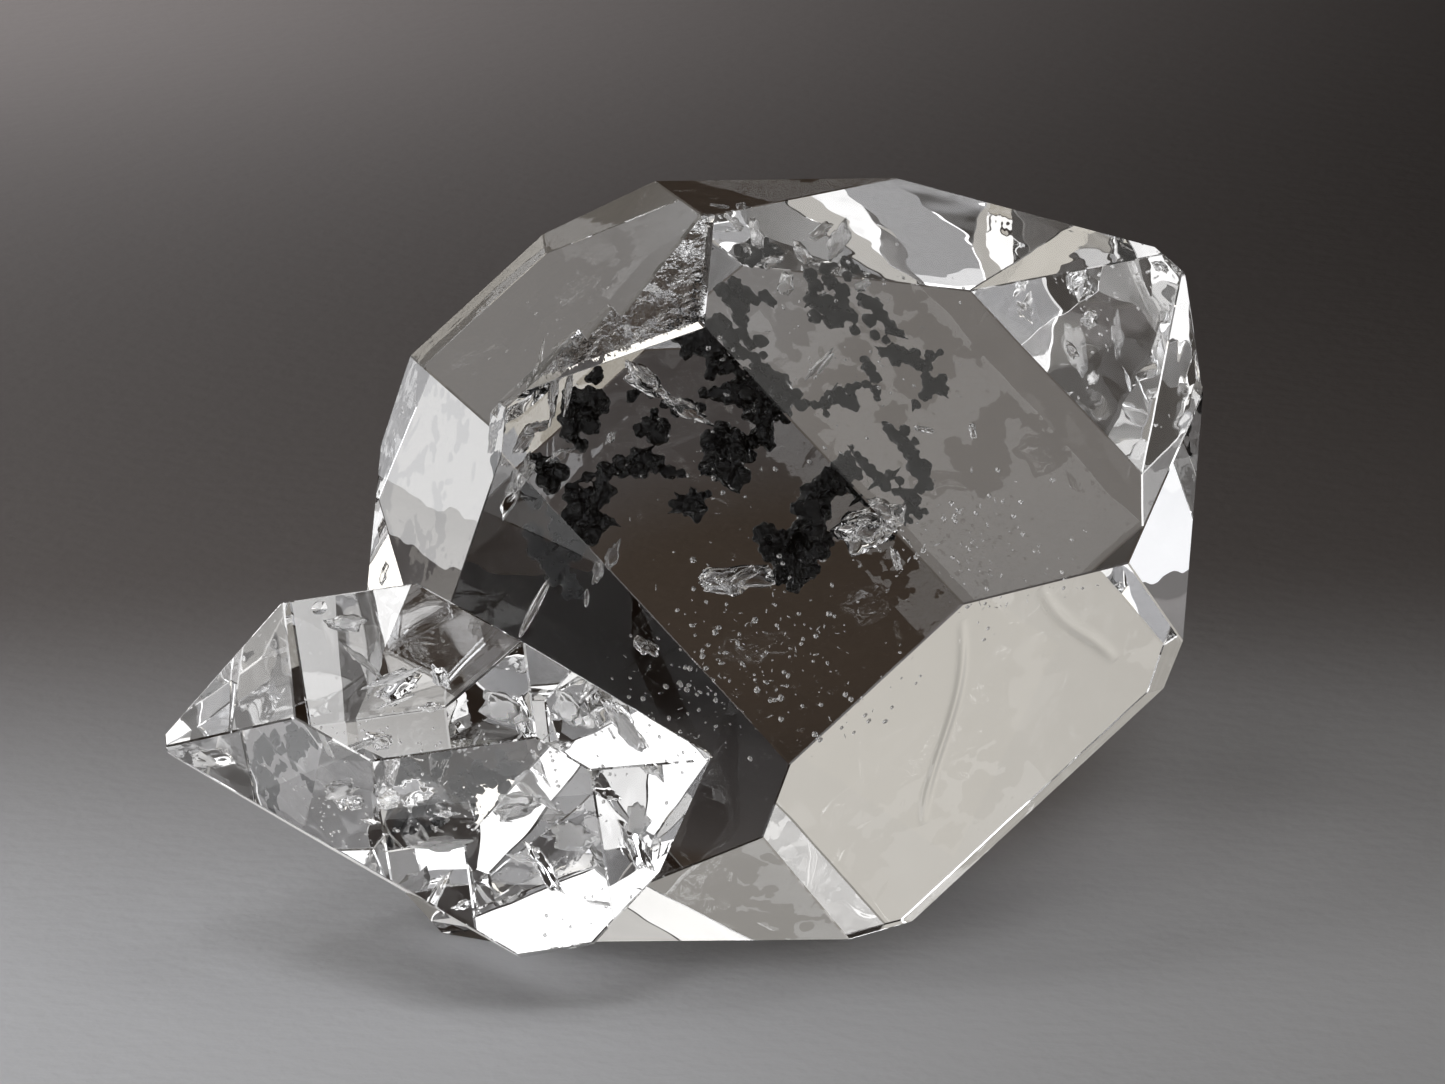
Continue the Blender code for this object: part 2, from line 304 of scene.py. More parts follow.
def crystalAxes(elevation, azimuth, roll):
    tilt = math.radians(elevation)
    turn = math.radians(azimuth)
    c = Vector((math.cos(tilt) * math.cos(turn), math.cos(tilt) * math.sin(turn), math.sin(tilt)))
    level = Vector((0, 0, 1)).cross(c).normalized()
    rise = c.cross(level)
    angle = math.radians(roll)
    u = math.cos(angle) * level + math.sin(angle) * rise
    return Matrix((c, u, c.cross(u))).transposed()


def faceNormals(axes):
    # m: prism faces, p: upper pyramid, q: lower pyramid, six of each
    tilt = math.radians(crystal["angle"])
    along = axes.col[0] * math.cos(tilt)
    normals = {}
    for step in range(6):
        angle = step * math.pi / 3
        side = axes @ Vector((0, math.cos(angle), math.sin(angle)))
        normals[f"m{step}"] = side
        normals[f"p{step}"] = along + side * math.sin(tilt)
        normals[f"q{step}"] = side * math.sin(tilt) - along
    return normals


def facePlanes(centre, axes, *rows):
    # rows: how far the prism, upper and lower faces stand from the centre
    reach = {f"{letter}{step}": row[step] for letter, row in zip("mpq", rows) for step in range(6)}
    return {key: (centre + normal * reach[key], normal) for key, normal in faceNormals(axes).items()}


largeCentre = Vector(crystal["largeCentre"])
smallCentre = largeCentre + Vector(crystal["smallFromLarge"])
largeAxes = crystalAxes(*crystal["largeTurn"])
smallAxes = crystalAxes(*crystal["smallTurn"])
largeFaces = facePlanes(
    largeCentre, largeAxes, crystal["largePrism"], crystal["largeUpper"], crystal["largeLower"])
smallFaces = facePlanes(
    smallCentre, smallAxes, crystal["smallPrism"], crystal["smallUpper"], crystal["smallLower"])


def viewRay(x, y):
    # the line of sight through a point of the frame
    wide, tall = camera["frame"]
    right = Vector(camera["right"])
    up = Vector(camera["up"])
    away = up.cross(right).normalized()
    reach = camera["lens"] / camera["sensor"] * wide
    ray = right * (x - wide / 2) + up * (tall / 2 - y) + away * reach
    return Vector(camera["place"]), ray.normalized()


def insideAt(faces, face, x, y, depth):
    # the place that deep under a face which is seen at a point of the frame, with the bend at the face
    start, ray = viewRay(x, y)
    point, normal = faces[face]
    normal = normal.normalized()
    entry = start + ray * ((point - start).dot(normal) / ray.dot(normal))
    slow = 1 / crystal["ior"]
    steep = -ray.dot(normal)
    bent = ray * slow + normal * (slow * steep - math.sqrt(1 - slow * slow * (1 - steep * steep)))
    return entry - bent * (depth / bent.dot(normal))


def sliceOff(point, normal):
    # in edit mode: all that lies outside the plane goes, and the cut is closed
    bpy.ops.mesh.select_all(action="SELECT")
    bpy.ops.mesh.bisect(
        plane_co=point, plane_no=normal, use_fill=True, clear_outer=True, threshold=crystal["cutReach"])


def trimmedBlock(name, centre, planes):
    bpy.ops.object.select_all(action="DESELECT")
    bpy.ops.mesh.primitive_cube_add(size=crystal["block"], location=centre)
    block = bpy.context.object
    block.name = name
    bpy.ops.object.transform_apply(location=True, rotation=True, scale=True)
    bpy.ops.object.mode_set(mode="EDIT")
    for point, normal in planes:
        sliceOff(point, normal)
    bpy.ops.mesh.select_all(action="SELECT")
    bpy.ops.mesh.remove_doubles(threshold=crystal["weld"])
    bpy.ops.mesh.normals_make_consistent(inside=False)
    bpy.ops.object.mode_set(mode="OBJECT")
    return block


def farthest(piece, centre, direction):
    return max((vert.co - centre).dot(direction) for vert in piece.data.vertices)


def pickOnly(piece):
    bpy.ops.object.select_all(action="DESELECT")
    bpy.context.view_layer.objects.active = piece
    piece.select_set(True)


def dropPiece(piece):
    bpy.data.objects.remove(piece, do_unlink=True)


def applyModifier(piece, kind, **settings):
    pickOnly(piece)
    modifier = piece.modifiers.new(kind.lower(), kind)
    for key, value in settings.items():
        setattr(modifier, key, value)
    bpy.ops.object.modifier_apply(modifier=modifier.name)


def finishPiece(piece, material, nodes):
    pickOnly(piece)
    piece.scale = (mm, mm, mm)
    bpy.ops.object.transform_apply(location=True, rotation=True, scale=True)
    piece.data.materials.clear()
    piece.data.materials.append(material)
    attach(piece, "root")
    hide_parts(*nodes)


def cutTip(piece, centre, direction, trim):
    tipPoint = centre + direction * (farthest(piece, centre, direction) - trim)
    bpy.ops.object.mode_set(mode="EDIT")
    sliceOff(tipPoint, direction)
    bpy.ops.object.mode_set(mode="OBJECT")


def joinPieces(piece, others):
    bpy.ops.object.select_all(action="DESELECT")
    for other in others:
        other.select_set(True)
    piece.select_set(True)
    bpy.context.view_layer.objects.active = piece
    bpy.ops.object.join()
    return piece


def sphereModel(name, subdivisions):
    bpy.ops.object.select_all(action="DESELECT")
    bpy.ops.mesh.primitive_ico_sphere_add(subdivisions=subdivisions, radius=1)
    model = bpy.context.object
    model.name = name
    return model


def placeCopy(model, name, place, stretch, turn=None):
    twin = bpy.data.objects.new(name, model.data.copy())
    scene.collection.objects.link(twin)
    spin = turn.to_4x4() if turn else Matrix.Identity(4)
    twin.data.transform(Matrix.Translation(place) @ spin @ Matrix.Diagonal((*stretch, 1)))
    return twin


def anyDirection():
    return Vector((rng.gauss(0, 1), rng.gauss(0, 1), rng.gauss(0, 1))).normalized()


def anyTurn():
    return anyDirection().to_track_quat("Z", "Y").to_matrix()


def softenEdges(piece):
    limit = math.radians(crystal["bevelAngle"])
    applyModifier(piece, "BEVEL", width=crystal["bevel"], segments=1, limit_method="ANGLE", angle_limit=limit)


def cutAway(piece, tool):
    applyModifier(piece, "BOOLEAN", operation="DIFFERENCE", solver="EXACT", object=tool)
    dropPiece(tool)


def addLedges(body, corner):
    c, u = largeAxes.col[0], largeAxes.col[1]
    leftSide = largeFaces["m5"][1]
    taper = math.radians(crystal["ledgeTaper"])
    slant = c * math.cos(taper) - leftSide * math.sin(taper)
    for height, depth, end in crystal["ledges"]:
        prism = crystal["largePrism"][:5] + (crystal["largePrism"][5] + height,)
        faces = facePlanes(largeCentre, largeAxes, prism, crystal["largeUpper"], crystal["largeLower"])
        planes = list(faces.values()) + corner
        planes.append((largeCentre - u * (depth - crystal["largePrism"][0]), -u))
        planes.append((largeCentre + slant * end, slant))
        planes.append((largeCentre, -leftSide))
        ledge = trimmedBlock("ledge", largeCentre, planes)
        softenEdges(ledge)
        applyModifier(body, "BOOLEAN", operation="UNION", solver="EXACT", object=ledge)
        dropPiece(ledge)


def chipEdge(mate, ball):
    out = (smallFaces["m0"][1] + smallFaces["m5"][1]).normalized()
    reach = farthest(mate, smallCentre, out)
    for along, radius in crystal["chips"]:
        place = smallCentre + smallAxes.col[0] * along + out * (reach + radius * crystal["chipLift"])
        stretch = [radius * rng.uniform(*crystal["chipStretch"]) for side in range(3)]
        cutAway(mate, placeCopy(ball, "chip", place, stretch, anyTurn()))


def mergeSeams():
    # in the active piece, corners that the cuts left side by side become one
    bpy.ops.object.mode_set(mode="EDIT")
    bpy.ops.mesh.select_all(action="SELECT")
    bpy.ops.mesh.remove_doubles(threshold=crystal["merge"])
    bpy.ops.object.mode_set(mode="OBJECT")


def makeBody():
    ball = sphereModel("ball", subdivisions=2)
    cornerNormal = (largeAxes @ Vector(crystal["corner"][0])).normalized()
    corner = [(largeCentre + cornerNormal * crystal["corner"][1], cornerNormal)]
    body = trimmedBlock("clearCrystals", largeCentre, list(largeFaces.values()) + corner)
    cutTip(body, largeCentre, (largeAxes @ Vector(crystal["tip"][0])).normalized(), crystal["tip"][1])
    softenEdges(body)
    addLedges(body, corner)
    smallTip = -smallAxes.col[0]
    mate = trimmedBlock("smallCrystal", smallCentre, list(smallFaces.values()))
    cutTip(mate, smallCentre, smallTip, crystal["smallTip"])
    softenEdges(mate)
    chipEdge(mate, ball)
    # the small crystal sits in the large one with a hair-thin healed fissure between them
    wider = [(point + normal * crystal["fissure"], normal) for point, normal in smallFaces.values()]
    cutAway(body, trimmedBlock("seat", smallCentre, wider))
    dropPiece(ball)
    joinPieces(body, [mate])
    mergeSeams()
    return body


# inner marks: tubes, flakes, needles, cracks and bubbles, each a hollow in the clear body

marks = {
    # tubes: face, depth, across and down of both ends in the frame, half width, thickness as a share
    # of the width, frost
    "rods": (
        ("q0", 1.0, 549, 580, 520, 636, 5.0, 1.0, 0.0),
        ("q0", 1.2, 587, 590, 586, 606, 3.0, 1.0, 0.0),
        ("m0", 2.0, 829, 354, 809, 379, 2.5, 1.0, 0.6),
        ("m0", 1.6, 703, 583, 762, 578, 12.0, 0.35, 0.0),
        ("m0", 1.5, 722, 588, 752, 572, 6.0, 0.5, 0.0),
        ("m0", 1.5, 715, 578, 729, 584, 4.0, 0.6, 0.0),
        ("m0", 1.6, 848, 536, 884, 524, 20.0, 0.35, 0.0),
        ("m0", 1.4, 856, 534, 876, 526, 10.0, 0.5, 0.0),
        ("m0", 1.5, 893, 550, 899, 566, 4.0, 0.8, 0.0),
        ("m0", 1.8, 645, 632, 664, 640, 7.0, 0.4, 0.0),
        ("m0", 2.0, 611, 433, 611, 441, 4.0, 1.0, 0.0),
        ("m0", 1.9, 668, 400, 704, 418, 7.0, 0.6, 0.0),
        ("m0", 1.9, 630, 370, 660, 392, 11.0, 0.6, 0.0),
        ("m0", 1.9, 528, 430, 545, 424, 5.0, 0.5, 0.5),
        ("p0", 1.8, 915, 428, 931, 431, 3.0, 0.8, 0.0),
        ("p0", 1.8, 972, 424, 973, 436, 3.5, 0.8, 0.0),
        ("p0", 1.9, 765, 378, 786, 398, 13.0, 0.6, 0.3),
        ("p0", 1.7, 808, 376, 830, 353, 3.0, 0.7, 0.5),
        ("m5", 1.2, 484, 486, 507, 441, 11.0, 0.4, 0.2),
        ("m5", 1.2, 500, 430, 512, 408, 9.0, 0.4, 0.3),
        ("m5", 1.0, 535, 398, 541, 350, 5.0, 0.6, 0.2),
        ("m5", 1.0, 549, 390, 556, 352, 4.0, 0.6, 0.2),
        ("m5", 1.0, 557, 345, 588, 326, 5.0, 0.5, 0.2),
    ),
    "rodOverrun": 0.5,    # how far a tube passes its ends, in half widths
    "roundFrom": 0.9,    # tubes thicker than this are smooth, the others ragged
    # ragged flakes: face, depth, across, down, half length, half width, turn in degrees, frost
    "flakes": (
        ("p0", 1.6, 838, 240, 24, 10, 60, 0.5),
        ("p0", 1.5, 820, 232, 17, 6, 40, 0.6),
        ("p0", 1.7, 802, 252, 14, 8, 120, 0.4),
        ("p0", 1.6, 772, 262, 16, 6, 20, 0.4),
        ("p0", 1.6, 786, 285, 15, 7, 75, 0.4),
        ("p0", 1.5, 757, 235, 18, 7, 100, 0.4),
        ("p0", 1.7, 862, 286, 11, 5, 30, 0.6),
        ("p0", 1.6, 735, 222, 12, 5, 140, 0.4),
        ("p0", 2.6, 1090, 320, 12, 7, 60, 0.2),
        ("p0", 2.9, 1072, 350, 10, 7, 110, 0.2),
        ("m0", 1.9, 612, 556, 14, 6, 70, 0.5),
        ("m0", 1.9, 560, 455, 12, 5, 30, 0.4),
    ),
    "flakeSight": 10,    # where along a flake its second point is taken, in points of the frame
    "flakeTilt": 0.5,    # how far a flake may lean from its face
    "flakeThick": 0.02,
    "kinds": 4,    # ragged shapes to choose from
    "seeds": (3.7, 1),    # of their noise: step from one to the next, and the first
    "rough": 0.75,
    "roughScale": 1.6,
    # fields of tiny hollows: face, depth range, box in the frame, number, longest half length,
    # share of needles
    "fields": (
        ("m0", (0.4, 2.6), (640, 560, 900, 740), 210, 4.2, 0.35),
        ("p0", (0.5, 2.6), (880, 470, 1085, 600), 110, 4.5, 0.6),
        ("m0", (0.8, 2.4), (600, 360, 830, 560), 90, 3.6, 0.3),
        ("p0", (0.8, 2.4), (720, 240, 960, 480), 90, 3.6, 0.4),
        ("q0", (0.5, 2.0), (600, 620, 750, 760), 60, 3.6, 0.3),
        ("m5", (0.5, 2.0), (470, 260, 660, 400), 34, 3.4, 0.3),
    ),
    "fieldSpread": 0.24,    # of the hollows about the middle of their box, as a share of it
    "fieldMargin": 0.25,    # kept free under the faces, mm
    "fieldSizes": (0.3, 1.0),
    "fieldBias": 1.5,    # more makes more of them small
    "needleThin": (0.15, 0.3),    # width as a share of the length
    "grainThin": (0.5, 1.0),
    # soft growth lines: face, across and down of both ends, width and sway in mm
    "growthLines": (
        ("m1", 962, 620, 930, 822, 0.13, 0.24),
        ("m1", 1040, 588, 1112, 664, 0.15, -0.12),
    ),
    "swayTurn": 5.2,    # how far the sway's wave runs over a line's length, radians
    "lineFall": 2.718,    # base of the fall to both sides
    "endFall": 0.5,    # power of the fall at both ends
    "lineDepth": 0.00005,    # deeper than this under their face no line is drawn, m
    # the small crystal: number of thin cracks, veils of bubbles and bubbles in each
    "cracks": 15,
    "crackSize": (0.35, 1.3),
    "crackShare": (0.5, 1),    # drawn for each, times its size
    "crackZone": (-2.4, 2.6, 2.2),    # from and to along the axis, and how far from it
    "crackRoom": (0.9, 0.1),    # kept free to the faces: a share of the size, and some more
    "crackWide": (0.22, 0.6),
    "crackThick": 0.012,
    "crackFrost": (0.0, 0.4, 0.7),
    "veils": 5,
    "veilBubbles": 22,
    "veilPlace": 3,    # how far along the axis from the middle, at most
    "veilReach": 2,    # half the width of a veil
    "veilBend": (0.12, 0.1),    # up along one side and down along the other
    "veilMargin": 0.2,
    "bubbleSize": (0.02, 0.065),
    "bubbleFlat": (0.5, 1),
}


def looseHollow(model, seed):
    # a ragged version of the round model
    ragged = placeCopy(model, "ragged", Vector((0, 0, 0)), (1, 1, 1))
    for vert in ragged.data.vertices:
        swell = noise.noise(vert.co * marks["roughScale"] + Vector((seed, 0, 0)))
        vert.co *= 1 + marks["rough"] * swell
    return ragged


def spanTurn(along, flatTo):
    # x along the span, z as near to flatTo as that leaves it
    along = along.normalized()
    side = flatTo.cross(along).normalized()
    return Matrix((along, side, along.cross(side))).transposed()


def frosted(shell, frost):
    layer = shell.data.attributes.new("frost", "FLOAT", "POINT")
    for item in layer.data:
        item.value = frost
    return shell


def insideAll(faces, point, margin):
    return all((point - onFace).dot(normal) < -margin for onFace, normal in faces.values())


def rodShells(ball, ragged):
    shells = []
    step = crystal["step"]
    for face, depth, x, y, x2, y2, half, flat, frost in marks["rods"]:
        start = insideAt(largeFaces, face, x, y, depth)
        end = insideAt(largeFaces, face, x2, y2, depth)
        turn = spanTurn(end - start, largeFaces[face][1])
        reach = (end - start).length / 2 + half * step * marks["rodOverrun"]
        size = (reach, half * step, half * step * flat)
        model = ball if flat > marks["roundFrom"] else rng.choice(ragged)
        shells.append(frosted(placeCopy(model, "mark", (start + end) / 2, size, turn), frost))
    return shells


def flakeShells(ragged):
    shells = []
    step = crystal["step"]
    sight = marks["flakeSight"]
    for face, depth, x, y, length, width, angle, frost in marks["flakes"]:
        place = insideAt(largeFaces, face, x, y, depth)
        lean = math.radians(angle)
        across = insideAt(largeFaces, face, x + math.cos(lean) * sight, y - math.sin(lean) * sight, depth)
        flatTo = largeFaces[face][1] + anyDirection() * marks["flakeTilt"]
        turn = spanTurn(across - place, flatTo.normalized())
        size = (length * step, width * step, marks["flakeThick"])
        shells.append(frosted(placeCopy(rng.choice(ragged), "mark", place, size, turn), frost))
    return shells


def fieldShells(seedling):
    shells = []
    for face, depths, (left, top, right, low), number, longest, needles in marks["fields"]:
        for item in range(number):
            x = left + (right - left) * min(max(rng.gauss(0.5, marks["fieldSpread"]), 0), 1)
            y = top + (low - top) * min(max(rng.gauss(0.5, marks["fieldSpread"]), 0), 1)
            place = insideAt(largeFaces, face, x, y, rng.uniform(*depths))
            if not insideAll(largeFaces, place, marks["fieldMargin"]):
                continue
            size = longest * crystal["step"] * rng.uniform(*marks["fieldSizes"]) ** marks["fieldBias"]
            kind = "needleThin" if rng.random() < needles else "grainThin"
            thin = size * rng.uniform(*marks[kind])
            shells.append(frosted(placeCopy(seedling, "mark", place, (thin, thin, size), anyTurn()), 0.0))
    return shells


def crackShells(ragged):
    shells = []
    along, to, wide = marks["crackZone"]
    share, more = marks["crackRoom"]
    while len(shells) < marks["cracks"]:
        spot = Vector((rng.uniform(along, to), rng.gauss(0, 1) * wide, rng.gauss(0, 1) * wide))
        place = smallCentre + smallAxes @ spot
        size = rng.uniform(*marks["crackSize"]) * rng.uniform(*marks["crackShare"])
        if not insideAll(smallFaces, place, size * share + more):
            continue
        shape = (size, size * rng.uniform(*marks["crackWide"]), marks["crackThick"])
        crack = placeCopy(rng.choice(ragged), "mark", place, shape, anyTurn())
        shells.append(frosted(crack, rng.choice(marks["crackFrost"])))
    return shells


def veilShells(seedling):
    # bubbles strewn over gently bent sheets
    shells = []
    reach = marks["veilReach"]
    bendU, bendV = marks["veilBend"]
    for number in range(marks["veils"]):
        middle = smallCentre + smallAxes.col[0] * rng.uniform(-marks["veilPlace"], marks["veilPlace"])
        sheet = anyTurn()
        for bubble in range(marks["veilBubbles"]):
            u, v = rng.uniform(-reach, reach), rng.uniform(-reach, reach)
            place = middle + sheet @ Vector((u, v, bendU * u * u - bendV * v * v))
            if insideAll(smallFaces, place, marks["veilMargin"]):
                size = rng.uniform(*marks["bubbleSize"])
                shape = (size, size * rng.uniform(*marks["bubbleFlat"]), size)
                shells.append(frosted(placeCopy(seedling, "mark", place, shape, anyTurn()), 0.0))
    return shells


def makeMarks():
    ball = sphereModel("ball", subdivisions=3)
    seedling = sphereModel("seedling", subdivisions=1)
    stride, first = marks["seeds"]
    ragged = [looseHollow(ball, stride * number + first) for number in range(marks["kinds"])]
    shells = rodShells(ball, ragged) + flakeShells(ragged) + fieldShells(seedling)
    shells += crackShells(ragged) + veilShells(seedling)
    for model in [ball, seedling] + ragged:
        dropPiece(model)
    print("inner marks", len(shells))
    hollow = joinPieces(shells[0], shells[1:])
    bpy.ops.object.shade_smooth()
    bpy.ops.object.mode_set(mode="EDIT")
    bpy.ops.mesh.select_all(action="SELECT")
    bpy.ops.mesh.flip_normals()
    bpy.ops.object.mode_set(mode="OBJECT")
    return hollow


def relief(tree, name, scale, detail, vector):
    bumps = addNode(tree, "ShaderNodeTexNoise", Scale=scale, Detail=detail)
    bumps.label = name
    link(tree, vector, bumps.inputs["Vector"])
    return bumps.outputs["Fac"]


def growthLineGroup():
    # a soft curved ridge along a line: the height falls off to both sides and at both ends
    group = bpy.data.node_groups.new("growthLine", "ShaderNodeTree")
    for name in ("Point", "Start", "Along", "Across", "Upward"):
        group.interface.new_socket(name, in_out="INPUT", socket_type="NodeSocketVector")
    for name in ("Width", "Sway"):
        group.interface.new_socket(name, in_out="INPUT", socket_type="NodeSocketFloat")
    group.interface.new_socket("Height", in_out="OUTPUT", socket_type="NodeSocketFloat")
    entry = addNode(group, "NodeGroupInput")
    leave = addNode(group, "NodeGroupOutput")

    def dot(first, second):
        node = addNode(group, "ShaderNodeVectorMath", operation="DOT_PRODUCT")
        link(group, first, node.inputs[0])
        link(group, second, node.inputs[1])
        return node.outputs["Value"]

    def calc(operation, first, second=None):
        node = addNode(group, "ShaderNodeMath", operation=operation)
        for number, value in enumerate((first, second)):
            if isinstance(value, (int, float)):
                node.inputs[number].default_value = value
            elif value is not None:
                link(group, value, node.inputs[number])
        return node.outputs[0]

    offset = addNode(group, "ShaderNodeVectorMath", operation="SUBTRACT")
    link(group, entry.outputs["Point"], offset.inputs[0])
    link(group, entry.outputs["Start"], offset.inputs[1])
    u = dot(offset.outputs[0], entry.outputs["Along"])    # 0 to 1 along the line
    v = dot(offset.outputs[0], entry.outputs["Across"])
    rise = dot(offset.outputs[0], entry.outputs["Upward"])
    bend = calc("MULTIPLY", calc("SINE", calc("MULTIPLY", u, marks["swayTurn"])), entry.outputs["Sway"])
    aside = calc("DIVIDE", calc("SUBTRACT", v, bend), entry.outputs["Width"])
    profile = calc("POWER", marks["lineFall"], calc("MULTIPLY", calc("MULTIPLY", aside, aside), -1.0))
    # 0 at both ends and 1 in the middle
    ends = calc("MULTIPLY", calc("MULTIPLY", u, calc("SUBTRACT", 1.0, u)), 4.0)
    ends = calc("MAXIMUM", ends, 0.0)
    onFace = calc("GREATER_THAN", rise, -marks["lineDepth"])
    ridge = calc("MULTIPLY", profile, calc("POWER", ends, marks["endFall"]))
    link(group, calc("MULTIPLY", ridge, onFace), leave.inputs["Height"])
    return group


def growthLines(tree, point):
    # the summed height of all the lines
    group = growthLineGroup()
    total = None
    for face, x, y, x2, y2, width, sway in marks["growthLines"]:
        start = insideAt(largeFaces, face, x, y, 0.0)
        span = insideAt(largeFaces, face, x2, y2, 0.0) - start
        across = largeFaces[face][1].cross(span).normalized()
        line = addNode(tree, "ShaderNodeGroup", node_tree=group)
        line.inputs["Start"].default_value = start * mm
        line.inputs["Along"].default_value = span / (span.length_squared * mm)
        line.inputs["Across"].default_value = across
        line.inputs["Upward"].default_value = largeFaces[face][1]
        line.inputs["Width"].default_value = width * mm
        line.inputs["Sway"].default_value = sway * mm
        link(tree, point, line.inputs["Point"])
        if total is None:
            total = line.outputs["Height"]
        else:
            add = addNode(tree, "ShaderNodeMath", operation="ADD")
            link(tree, total, add.inputs[0])
            link(tree, line.outputs["Height"], add.inputs[1])
            total = add.outputs[0]
    return total


quartz = {
    "cornerMask": (0.00012, 0.00001),    # how far below its plane the growth starts and is full, m
    "crust": (900.0, 5.0),    # scale and detail
    "crustBump": {"Strength": 1.0, "Distance": 0.0010},
    "crustRoughness": 0.12,
    "waves": (230.0, 2.0),
    "waveBump": {"Strength": 1.0, "Distance": 0.000022},
    "lineBump": {"Strength": 1.0, "Distance": 0.00003},
    "frostRoughness": 0.5,
}


def makeClearQuartz():
    material, tree, shader = newMaterial("clearQuartz", Roughness=0.0, IOR=crystal["ior"])
    shader.inputs["Transmission Weight"].default_value = 1.0
    shader.inputs["Base Color"].default_value = (1, 1, 1, 1)
    place = addNode(tree, "ShaderNodeTexCoord")
    frost = addNode(tree, "ShaderNodeAttribute", attribute_name="frost")
    # rough growth on the cut corner: a mask from the height over its plane
    normal = (largeAxes @ Vector(crystal["corner"][0])).normalized()
    height = (largeCentre + normal * crystal["corner"][1]).dot(normal) * mm
    over = addNode(tree, "ShaderNodeVectorMath", operation="DOT_PRODUCT")
    over.inputs[1].default_value = normal
    mask = addNode(tree, "ShaderNodeMapRange", interpolation_type="SMOOTHSTEP")
    setRange(mask, "From", [height - below for below in quartz["cornerMask"]])
    crust = relief(tree, "corner growth", *quartz["crust"], place.outputs["Object"])
    crustHeight = addNode(tree, "ShaderNodeMath", operation="MULTIPLY")
    crustBump = addNode(tree, "ShaderNodeBump", **quartz["crustBump"])
    # all faces are a touch uneven
    waves = relief(tree, "face waves", *quartz["waves"], place.outputs["Object"])
    waveBump = addNode(tree, "ShaderNodeBump", **quartz["waveBump"])
    # the hollows are as rough as their frost says, the cut corner by its mask
    rough = addNode(tree, "ShaderNodeMath", operation="MULTIPLY_ADD")
    rough.inputs[1].default_value = quartz["frostRoughness"]
    link(tree, place.outputs["Object"], over.inputs[0])
    link(tree, over.outputs["Value"], mask.inputs["Value"])
    link(tree, crust, crustHeight.inputs[0])
    link(tree, mask.outputs["Result"], crustHeight.inputs[1])
    link(tree, crustHeight.outputs[0], crustBump.inputs["Height"])
    link(tree, waves, waveBump.inputs["Height"])
    lineBump = addNode(tree, "ShaderNodeBump", **quartz["lineBump"])
    link(tree, growthLines(tree, place.outputs["Object"]), lineBump.inputs["Height"])
    link(tree, waveBump.outputs["Normal"], lineBump.inputs["Normal"])
    link(tree, lineBump.outputs["Normal"], crustBump.inputs["Normal"])
    link(tree, crustBump.outputs["Normal"], shader.inputs["Normal"])
    link(tree, frost.outputs["Fac"], rough.inputs[0])
    crustRough = addNode(tree, "ShaderNodeMath", operation="MULTIPLY")
    crustRough.inputs[1].default_value = quartz["crustRoughness"]
    link(tree, mask.outputs["Result"], crustRough.inputs[0])
    link(tree, crustRough.outputs[0], rough.inputs[2])
    link(tree, rough.outputs[0], shader.inputs["Roughness"])
    return material


body = makeBody()
body = joinPieces(body, [makeMarks()])
finishPiece(body, makeClearQuartz(), ["quartz_front", "quartz_back"])
print("clear body made")


# carbon

